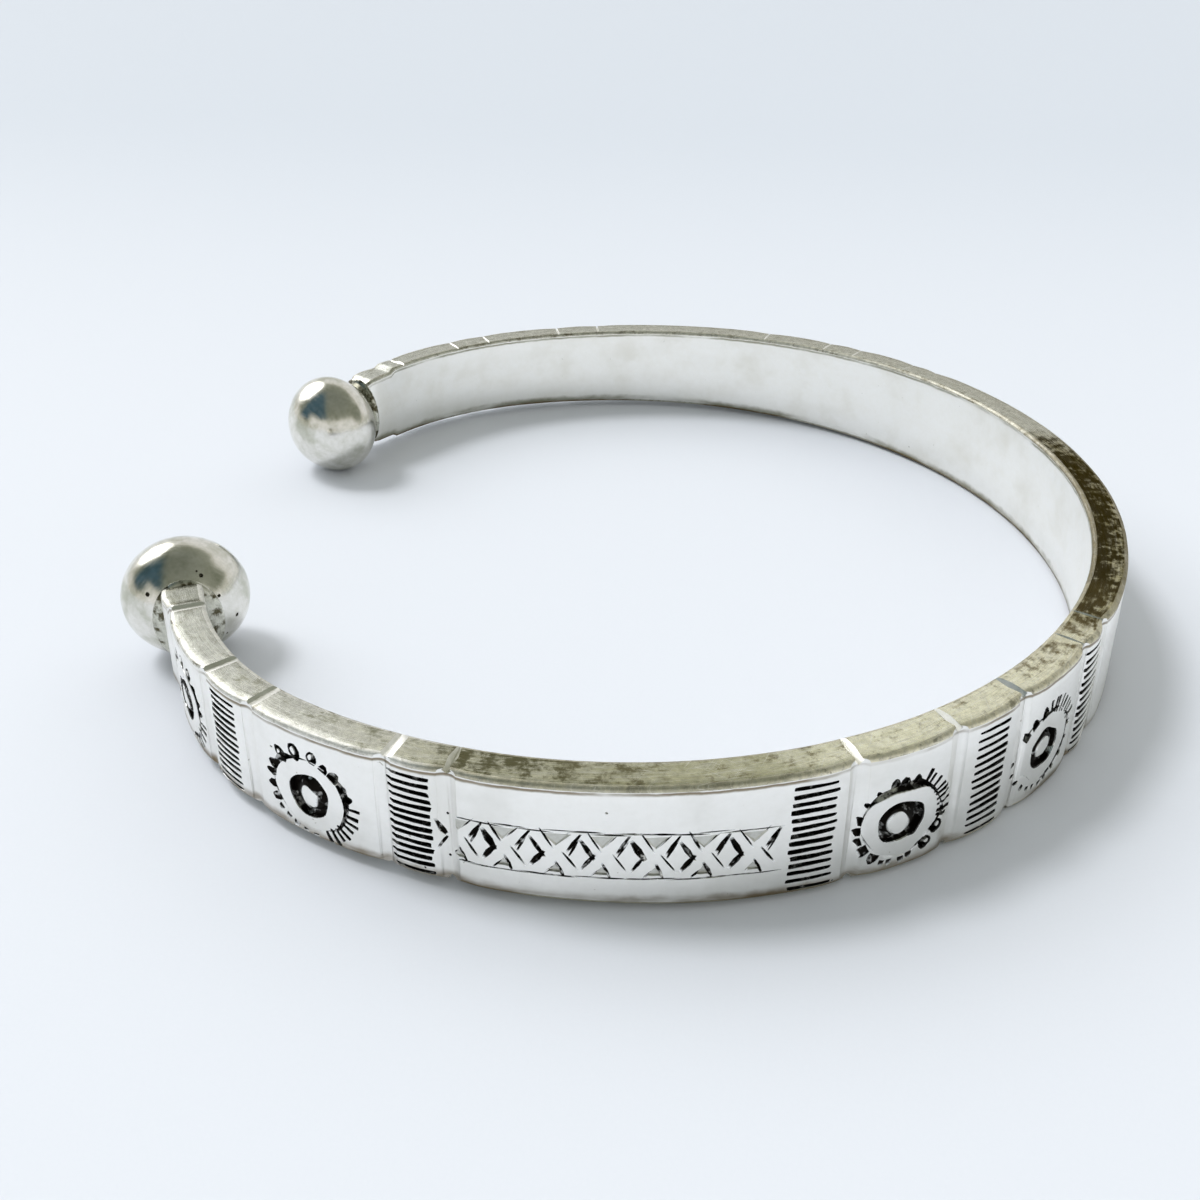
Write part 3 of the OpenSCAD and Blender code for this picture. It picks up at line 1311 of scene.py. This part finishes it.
class Bangle:
    """The whole bangle, worked flat, bent, and soldered to its knobs."""

    columns = (100, 3)
    rows = 13
    edge_rows = 4
    black_from = 0.12 * MM
    smooth_below = math.radians(33)
    comb_at = 0.57
    row_from = 1.31
    row_gap = 0.45 * MM
    slots = ("wall", "edge", "inner", "corner")

    def __init__(self, sizes: BarSizes) -> None:
        """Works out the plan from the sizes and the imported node's box.

        Args:
            sizes: The driving sizes.
        """
        low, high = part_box(NODE)
        self.sizes = sizes
        self.height = high.z - low.z
        foot_x = sizes.back.radius + self.height / 2 * math.tan(sizes.lean)
        self.plan = PlanLine([sizes.back, sizes.side, sizes.shoulder, sizes.end], high.x - foot_x)
        self.foot_x = high.x
        end_x = self.plan.place(self.plan.length)[0].x
        self.taper = (self.height - sizes.end_height) / 2 / (self.foot_x - end_x)
        self.total = self.plan.length + sizes.neck

    def narrowing(self, distance: float) -> float:
        """Height of the bar at a distance from the back, as a share of its height at the back."""
        point, _ = self.plan.place(min(distance, self.plan.length))
        full = 1 - 2 * (self.foot_x - point.x) * self.taper / self.height
        past = max(0.0, distance - self.plan.length)
        if past == 0:
            return full
        start = full - 2 * self.sizes.neck_step / self.height
        share = past / self.sizes.neck
        return start + (self.sizes.neck_height / self.height - start) * share

    def notches(self) -> list[float]:
        """Places of all the notches along the strip."""
        places = []
        for half in Half:
            distance = self.plan.length
            for panel in PANELS:
                distance -= panel.length(half)
                places.append(half.value * distance)
        return places

    def strip(self, finishes: Finishes) -> Item:
        """Forges the flat strip with bevelled edges and enough rows and columns to bend.

        Args:
            finishes: The materials by name.

        Returns:
            The strip.
        """
        pick_nothing()
        sizes = self.sizes
        bpy.ops.mesh.primitive_cube_add(size=1, location=(-sizes.thickness / 2, 0, 0))
        piece = bpy.context.object
        piece.name = "silver_bangle"
        piece.scale = (sizes.thickness, 2 * self.total, self.height)
        set_into(piece)
        with editing(piece):
            select("edges", lambda way: abs(way.y) > 0.99)
            bpy.ops.mesh.bevel(
                offset=sizes.edge_bevel, segments=sizes.edge_steps, affect="EDGES")
            for cuts in self.columns:
                select("edges", lambda way: abs(way.y) > 0.99)
                bpy.ops.mesh.subdivide(number_cuts=cuts)
            select("edges", lambda way: abs(way.z) > 0.99)
            bpy.ops.mesh.subdivide(number_cuts=self.rows - 1)
            select("edges", lambda way: abs(way.x) > 0.99)
            bpy.ops.mesh.subdivide(number_cuts=self.edge_rows - 1)
        for name in self.slots:
            piece.data.materials.append(finishes[name])
        for face in piece.data.polygons:
            if abs(face.normal.z) > 0.99:
                face.material_index = self.slots.index("edge")
            elif abs(face.normal.z) > 0.1:
                face.material_index = self.slots.index("corner")
            elif face.normal.x < -0.5:
                face.material_index = self.slots.index("inner")
        for point in piece.data.vertices:
            point.co.z *= self.narrowing(abs(point.co.y))
        return piece

    def engrave(self, piece: Item, finishes: Finishes) -> None:
        """Files the grooves and notches, then stamps and graves the panels.

        Args:
            piece: The strip.
            finishes: The materials by name.
        """
        bench = ToolBench(finishes)
        ornament = Ornament(bench, self.sizes.thickness, lambda s: self.height * self.narrowing(s))
        for y in self.notches():
            ornament.notch(y)
        cut_with(piece, bench.collect())
        LOG.info("filed: %d faces", len(piece.data.polygons))
        for half in Half:
            outer = self.plan.length
            for panel in PANELS:
                inner = outer - panel.length(half)
                self.work_panel(ornament, panel, half, outer, inner)
                outer = inner
        for _ in range(ornament.dents):
            ornament.dent(self.plan.length)
        cut_with(piece, bench.collect())
        bench.put_away()
        LOG.info("engraved: %d faces", len(piece.data.polygons))

    def work_panel(self, ornament: Ornament, panel: Panel, half: Half,
                   outer: float, inner: float) -> None:
        """Marks one panel.

        Args:
            ornament: The marks.
            panel: The panel.
            half: The half that it is on.
            outer: Distance of its outer notch from the middle of the back.
            inner: Distance of its inner notch.
        """
        y = half.value * (outer + (inner - outer) * panel.middle)
        if panel.motif is Motif.COMB:
            ornament.comb(y, panel.heavy_left)
        elif panel.motif is Motif.ROSETTE:
            ornament.rosette(y, panel.rosette)
        elif panel.motif is Motif.LOZENGES:
            zone = self.sizes.comb_zone
            ornament.comb(half.value * (inner + self.comb_at * zone), half is Half.FRONT)
            ends = (half.value * (outer - self.row_gap), half.value * (inner + self.row_from * zone))
            ornament.lozenge_row(min(ends), max(ends))

    def mark_recesses(self, piece: Item, dark: tuple[bpy.types.Material, ...]) -> None:
        """Writes how deep each point lies in the bar and its marks, and how far from the edges.

        Args:
            piece: The engraved strip.
            dark: The finishes of the marks that hold black.
        """
        mesh = piece.data
        graved = [mesh.materials.find(finish.name) for finish in dark]
        inside = [True] * len(mesh.vertices)
        for face in mesh.polygons:
            if face.material_index not in graved:
                for corner in face.vertices:
                    inside[corner] = False
        for name in ("depth", "rim", "foot", "recess"):
            mesh.attributes.new(name, "FLOAT", "POINT")
        depth, rim, foot, recess = (
            mesh.attributes[name].data for name in ("depth", "rim", "foot", "recess"))
        for point, deep in zip(mesh.vertices, inside):
            half = self.height * self.narrowing(abs(point.co.y)) / 2
            depth[point.index].value = -point.co.x / self.sizes.thickness
            rim[point.index].value = (half - point.co.z) / MM
            foot[point.index].value = (half + point.co.z) / MM
            recess[point.index].value = min(1.0, -point.co.x / self.black_from) if deep else 0.0

    def lay_out(self, piece: Item) -> None:
        """Writes the strip's UV map, in millimetres along it and round its section."""
        mesh = piece.data
        layer = mesh.uv_layers.new(name="strip")
        for loop in mesh.loops:
            place = mesh.vertices[loop.vertex_index].co
            layer.data[loop.index].uv = (place.y / MM, (place.z + place.x) / MM)

    def bend(self, piece: Item) -> None:
        """Bends the strip round the plan, leans its wall, and narrows it towards the ends."""
        sizes = self.sizes
        notches = self.notches()
        for point in piece.data.vertices:
            depth, along, up = point.co
            distance = abs(along)
            side = 1 if along >= 0 else -1
            spot, heading = self.plan.place(distance)
            if distance > self.plan.length:
                depth, up = self.neck_shape(distance - self.plan.length, depth, up)
            else:
                gap = min(abs(along - notch) for notch in notches)
                rise = (2 * up / self.height) ** 4
                pillow = sizes.pillow + sizes.pillow_corner * rise
                pillow *= math.exp(-((gap / sizes.pillow_reach) ** 2))
                depth -= pillow * max(0.0, 1 + depth / sizes.thickness)
            waves = noise.noise(Vector((along / MM * 0.22, up / MM * 0.3, depth / MM * 0.3)))
            depth += sizes.hammering * waves
            outward = depth - up * math.tan(sizes.lean)
            x = spot.x + outward * math.cos(heading)
            y = spot.y + outward * math.sin(heading)
            point.co = (x, side * y, self.height / 2 + up)

    def neck_shape(self, past: float, depth: float, up: float) -> Pair:
        """Thickens the neck outwards, and rounds it over where it dips into the knob.

        Args:
            past: Distance beyond the end of the plan's last arc.
            depth: Depth of the point below the outer face, negative inwards.
            up: Its height above mid height.

        Returns:
            The new depth and height.
        """
        sizes = self.sizes
        growth = sizes.neck_thickness - sizes.thickness
        share = min(1.0, past / sizes.neck_swell)
        depth += growth * share ** 2 * (3 - 2 * share) * (1 + depth / sizes.thickness)
        finger = max(0.0, past - sizes.neck_straight)
        drop = sizes.neck_round - math.sqrt(max(0.1 * MM ** 2, sizes.neck_round ** 2 - finger ** 2))
        up -= drop * 2 * up / sizes.neck_height
        middle = -sizes.thickness / 2 + growth / 2
        depth -= 0.8 * drop * (depth - middle) / (sizes.neck_thickness / 2)
        return depth, up

    def knob(self, half: Half, finishes: Finishes) -> Item:
        """Turns one knob, a ball with a round rim and two flatter faces, and solders its face.

        The neck's end reaches the middle of the knob.

        Args:
            half: The half whose end it sits on.
            finishes: The materials by name.

        Returns:
            The knob, in place.
        """
        sizes = self.sizes
        spot, heading = self.plan.place(self.total)
        out = Vector((math.cos(heading), math.sin(heading)))
        middle = spot - out * sizes.thickness / 2
        pick_nothing()
        bpy.ops.mesh.primitive_uv_sphere_add(segments=96, ring_count=64, radius=1)
        ball = bpy.context.object
        wide, long = self.height / 2, sizes.knob_length / 2
        rim = sizes.knob_rim * long
        face = (wide ** 2 + long ** 2 - 2 * wide * rim) / (2 * (long - rim))
        meet = math.atan2(face - long, wide - rim)
        for point in ball.data.vertices:
            out = Vector((point.co.x, point.co.y))
            tilt = math.atan2(point.co.z, out.length)
            if abs(tilt) < meet:
                reach, rise = wide - rim + rim * math.cos(tilt), rim * math.sin(tilt)
            else:
                reach = face * math.cos(tilt)
                rise = face * math.sin(tilt) - math.copysign(face - long, tilt)
            out = out.normalized() * reach
            place = Vector((out.x, out.y, rise))
            dents = noise.noise(place / MM * 0.45) + 0.35 * noise.noise(place / MM * 1.3)
            point.co = place * (1 + sizes.knob_wander * dents)
        ball.data.uv_layers.active.name = "strip"
        ball.data.materials.append(finishes["knob"])
        self.solder(ball, half, finishes, lambda reach: math.sqrt(face ** 2 - reach ** 2) - face + long)
        ball.matrix_world = (
            Matrix.Translation((middle.x, half.value * middle.y, self.height / 2))
            @ Matrix.Rotation(half.value * heading, 4, "Z")
            @ Matrix.Rotation(math.pi / 2, 4, "X")
        )
        set_into(ball)
        return ball

    def solder(self, ball: Item, half: Half, finishes: Finishes,
               rise_at: Callable[[float], float]) -> None:
        """Leaves a low mound of solder on the face that meets the neck, with pits round it.

        Args:
            ball: The knob, still upright on its own axis.
            half: The half whose end it sits on.
            finishes: The materials by name.
            rise_at: Height of the knob's face at a distance from its axis.
        """
        sizes = self.sizes
        pick_nothing()
        bpy.ops.mesh.primitive_uv_sphere_add(
            segments=40, ring_count=20, radius=1,
            location=(0, 0, half.value * (sizes.knob_length / 2 - sizes.mound_sink)))
        mound = bpy.context.object
        mound.scale = sizes.mound
        set_into(mound)
        mound.data.uv_layers.active.name = "strip"
        mound.data.materials.append(finishes["solder"])
        cut_with(ball, mound, "UNION")
        chance = random.Random(5)
        pits = []
        for _ in range(sizes.pits):
            angle = chance.uniform(*sizes.pit_way)
            reach = chance.uniform(*sizes.pit_reach) * MM
            size = chance.uniform(*sizes.pit_size) * MM
            pick_nothing()
            bpy.ops.mesh.primitive_ico_sphere_add(subdivisions=1, radius=size, location=(
                -reach * math.cos(angle), reach * math.sin(angle), half.value * rise_at(reach)))
            pits.append(bpy.context.object)
            set_into(pits[-1])
            pits[-1].data.uv_layers.active.name = "strip"
            pits[-1].data.materials.append(finishes["pit"])
        pick(*pits)
        bpy.ops.object.join()
        cut_with(ball, bpy.context.object)

    def build(self, finishes: Finishes) -> Item:
        """Makes the bangle from the strip to the soldered piece.

        Args:
            finishes: The materials by name.

        Returns:
            The finished piece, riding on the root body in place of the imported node.
        """
        piece = self.strip(finishes)
        LOG.info("forged: %d faces", len(piece.data.polygons))
        self.engrave(piece, finishes)
        self.mark_recesses(piece, (finishes["graved"], finishes["stained"]))
        self.lay_out(piece)
        self.bend(piece)
        pick(piece, *[self.knob(half, finishes) for half in Half])
        bpy.ops.object.join()
        bpy.ops.object.shade_smooth_by_angle(angle=self.smooth_below)
        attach(piece, "root")
        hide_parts(NODE)
        return piece


@dataclass(frozen=True)
class Studio:
    """Camera, soft daylight and the dim room that the silver mirrors."""

    camera_at: Triple = (7.84 * MM, -74.34 * MM, 43.32 * MM)
    camera_aim: Triple = (-2.5 * MM, -4.3 * MM, 0.0)
    sensor: float = 36.0
    lens: float = 36.0
    forward: Triple = (-0.146, 0.989, 0.0)
    right: Triple = (0.989, 0.146, 0.0)
    sun_from: Triple = (-0.50, 0.20, 0.84)
    sun_power: float = 1.4
    sun_spread: float = math.radians(16)
    ceiling_power: float = 1.15
    ceiling_spread: float = math.radians(130)
    sky: tuple[tuple[float, Triple], ...] = (
        (0.0, (0.79, 0.80, 0.80)),
        (0.43, (0.75, 0.75, 0.72)),
        (0.51, (0.56, 0.56, 0.50)),
        (0.61, (0.25, 0.265, 0.21)),
        (1.0, (0.19, 0.205, 0.17)),
    )
    tilt_ahead: float = -0.4
    tilt_behind: float = -0.14
    end_walls: float = 0.34
    blue: Triple = (0.05, 0.10, 0.13)
    window_way: Triple = (-0.700, 0.370, 0.610)
    window_span: Pair = (0.91, 0.965)
    window_light: Triple = (3.6, 3.6, 3.6)

    def camera(self) -> Item:
        """Sets the camera at the photograph's angle.

        Returns:
            The camera.
        """
        data = bpy.data.cameras.new("camera")
        data.sensor_width = self.sensor
        data.lens = self.lens
        data.clip_start = 1 * MM
        data.clip_end = 20.0
        camera = bpy.data.objects.new("camera", data)
        bpy.context.scene.collection.objects.link(camera)
        camera.location = self.camera_at
        way = Vector(self.camera_aim) - Vector(self.camera_at)
        camera.rotation_euler = way.to_track_quat("-Z", "Y").to_euler()
        bpy.context.scene.camera = camera
        return camera

    def lamp(self, name: str, power: float, spread: float, source: Triple) -> Item:
        """Adds a broad distant lamp that the silver does not mirror.

        Args:
            name: Its name.
            power: Its strength.
            spread: The angle that it fills, in radians.
            source: The direction that it shines from.

        Returns:
            The lamp.
        """
        data = bpy.data.lights.new(name, "SUN")
        data.energy = power
        data.angle = spread
        light = bpy.data.objects.new(name, data)
        bpy.context.scene.collection.objects.link(light)
        light.rotation_euler = Vector(source).to_track_quat("Z", "Y").to_euler()
        light.visible_glossy = False
        return light

    def room(self) -> None:
        """Makes the world: pale near the horizon, a window on the left, dim overhead."""
        world = bpy.data.worlds.new("room")
        bpy.context.scene.world = world
        world.use_nodes = True
        sketch = Sketch(world.node_tree)
        output = sketch.node("ShaderNodeOutputWorld")
        background = sketch.node("ShaderNodeBackground", Strength=1.0)
        sketch.join(background.outputs["Background"], output.inputs["Surface"])
        way = sketch.node("ShaderNodeTexCoord").outputs["Generated"]
        ahead = sketch.along(way, self.forward)
        aside = sketch.along(way, self.right)
        far = sketch.times(sketch.math("MAXIMUM", ahead, 0.0), self.tilt_ahead)
        near = sketch.times(sketch.math("MINIMUM", ahead, 0.0), self.tilt_behind)
        ends = sketch.span(sketch.math("ABSOLUTE", aside, 0.0), 0.72, 0.96, (0.0, self.end_walls))
        dome = sketch.plus(sketch.plus(sketch.axes(way)["Z"], sketch.plus(far, near)), ends)
        light = sketch.ramp(dome, self.sky)
        blue = sketch.times(sketch.span(dome, 0.51, 0.59), sketch.span(aside, -0.2, -0.45))
        blue = sketch.times(blue, sketch.span(ahead, 0.1, -0.12))
        light = sketch.mix(blue, light, self.blue)
        window = sketch.along(way, Vector(self.window_way).normalized())
        light = sketch.mix(sketch.span(window, *self.window_span), light, self.window_light)
        sketch.join(light, background.inputs["Color"])


def make_finishes() -> Finishes:
    """Builds every finish of the silver.

    Returns:
        The materials by name.
    """
    tarnish = Tarnish(
        zones=(
            (0.00, (0.38, 0.39, 0.33)),
            (0.03, (0.40, 0.41, 0.35)),
            (0.06, (0.58, 0.59, 0.53)),
            (0.15, (0.66, 0.66, 0.59)),
            (0.18, (0.60, 0.59, 0.46)),
            (0.22, (0.47, 0.46, 0.31)),
            (0.28, (0.56, 0.55, 0.36)),
            (0.31, (1.00, 0.98, 0.74)),
            (0.38, (1.00, 0.97, 0.74)),
            (0.42, (0.50, 0.46, 0.27)),
            (0.53, (0.36, 0.32, 0.18)),
            (0.57, (0.66, 0.66, 0.58)),
            (1.00, (0.76, 0.78, 0.73)),
        ),
        stains=(
            (0.00, (0.40, 0.40, 0.33)),
            (0.16, (0.30, 0.30, 0.22)),
            (0.20, (0.10, 0.095, 0.045)),
            (0.28, (0.22, 0.19, 0.10)),
            (0.38, (0.16, 0.12, 0.05)),
            (0.44, (0.018, 0.012, 0.005)),
            (0.54, (0.020, 0.015, 0.008)),
            (0.60, (0.32, 0.31, 0.24)),
            (1.00, (0.36, 0.35, 0.28)),
        ),
        loads=(
            (0.00, 0.25),
            (0.16, 0.3),
            (0.21, 0.72),
            (0.25, 0.4),
            (0.29, 0.2),
            (0.33, 0.2),
            (0.39, 0.5),
            (0.43, 1.0),
            (0.53, 1.0),
            (0.58, 0.15),
            (1.00, 0.15),
        ),
    )
    worn_corner = Tarnish(
        zones=(
            (0.00, (0.90, 0.90, 0.85)),
            (0.18, (0.92, 0.91, 0.86)),
            (0.20, (0.62, 0.59, 0.45)),
            (0.27, (0.62, 0.59, 0.44)),
            (0.30, (0.95, 0.90, 0.72)),
            (0.41, (0.88, 0.83, 0.64)),
            (0.44, (0.34, 0.30, 0.19)),
            (0.53, (0.34, 0.30, 0.21)),
            (0.57, (0.70, 0.68, 0.58)),
            (1.00, (0.70, 0.69, 0.60)),
        ),
        stains=(
            (0.00, (0.40, 0.38, 0.30)),
            (1.00, (0.20, 0.17, 0.10)),
        ),
        loads=(
            (0.00, 0.1),
            (0.20, 0.4),
            (1.00, 0.3),
        ),
    )
    # Brown for the line under the top edge, and for the dirt and painted contact shade along the foot.
    brown = GrimeAndShade((0.22, 0.17, 0.10))
    finishes = {
        # Wall, corner and inside carry painted shade towards and along the foot as well as their dirt.
        "wall": Silver("satin_silver", clean=(1.0, 0.99, 0.96), dull=(0.88, 0.87, 0.83),
                       dull_share=(0.42, 0.75), grain=0.25, roughness=(0.28, 0.42), grime_and_shade=brown),
        "edge": Silver("tarnished_edge", clean=(0.97, 0.97, 0.93), dull=(0.70, 0.70, 0.62),
                       roughness=(0.2, 0.36), streak=(0.5, 14.0), streak_depth=0.004 * MM,
                       tint=(0.5, 0.47, 0.40), tarnish=tarnish),
        "corner": Silver("worn_corner", clean=(0.95, 0.94, 0.89), dull=(0.70, 0.69, 0.60),
                         roughness=(0.45, 0.6), tint=(0.6, 0.57, 0.5), tarnish=worn_corner,
                         grime_and_shade=brown),
        "inner": Silver("worn_inside", clean=(1.0, 0.99, 0.95), dull=(0.88, 0.86, 0.79),
                        dull_share=(0.38, 0.80), grain=0.2, roughness=(0.28, 0.42), streak=(0.2, 2.5),
                        streak_depth=0.003 * MM, grime_and_shade=GrimeAndShade((0.30, 0.29, 0.21))),
        "cut": Silver("bright_cut_silver", clean=(0.95, 0.94, 0.90), dull=(0.62, 0.61, 0.50),
                      roughness=(0.3, 0.45), dull_share=(0.5, 0.75)),
        "graved": Silver("graved_silver", roughness=(0.2, 0.3), recess=True),
        "stained": Silver("stained_silver", dull=(0.5, 0.49, 0.44), cloud=1200.0,
                          roughness=(0.25, 0.35), recess=True, patches=(0.40, 0.56)),
        # Darker grey of the shallow sunk triangles and knocks: partly tarnish, partly painted shade in
        # the hollows.
        "shaded_dull": Silver("dull_shaded_marks", clean=(0.66, 0.66, 0.62), dull=(0.42, 0.41, 0.36),
                       cloud=900.0, roughness=(0.3, 0.45)),
        "knob": Silver("polished_silver", clean=(0.84, 0.82, 0.77), dull=(0.52, 0.52, 0.43),
                       cloud=520.0, dull_share=(0.42, 0.72), roughness=(0.12, 0.24),
                       streak=(14.0, 60.0), streak_depth=0.005 * MM),
        "solder": Silver("solder", clean=(0.66, 0.66, 0.58), dull=(0.10, 0.09, 0.055),
                         dull_share=(0.46, 0.6), cloud=1300.0, roughness=(0.2, 0.4)),
        "pit": Silver("pitted_solder", clean=(0.12, 0.11, 0.08), dull=(0.03, 0.027, 0.018),
                      roughness=(0.5, 0.7)),
    }
    return {name: finish.material() for name, finish in finishes.items()}


def main() -> None:
    """Builds the camera, the table, the light and the bangle, and logs the bangle's triangles."""
    logging.basicConfig(level=logging.INFO, format="%(message)s")
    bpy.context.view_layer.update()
    studio = Studio()
    studio.camera()
    studio.lamp("daylight", studio.sun_power, studio.sun_spread, studio.sun_from)
    studio.lamp("ceiling", studio.ceiling_power, studio.ceiling_spread, (0.0, 0.0, 1.0))
    studio.room()
    Table().build()
    piece = Bangle(BarSizes()).build(make_finishes())
    piece.data.calc_loop_triangles()
    LOG.info("%s: %d triangles", piece.name, len(piece.data.loop_triangles))
    bpy.context.scene.view_settings.view_transform = "Standard"


if __name__ == "__main__":
    main()
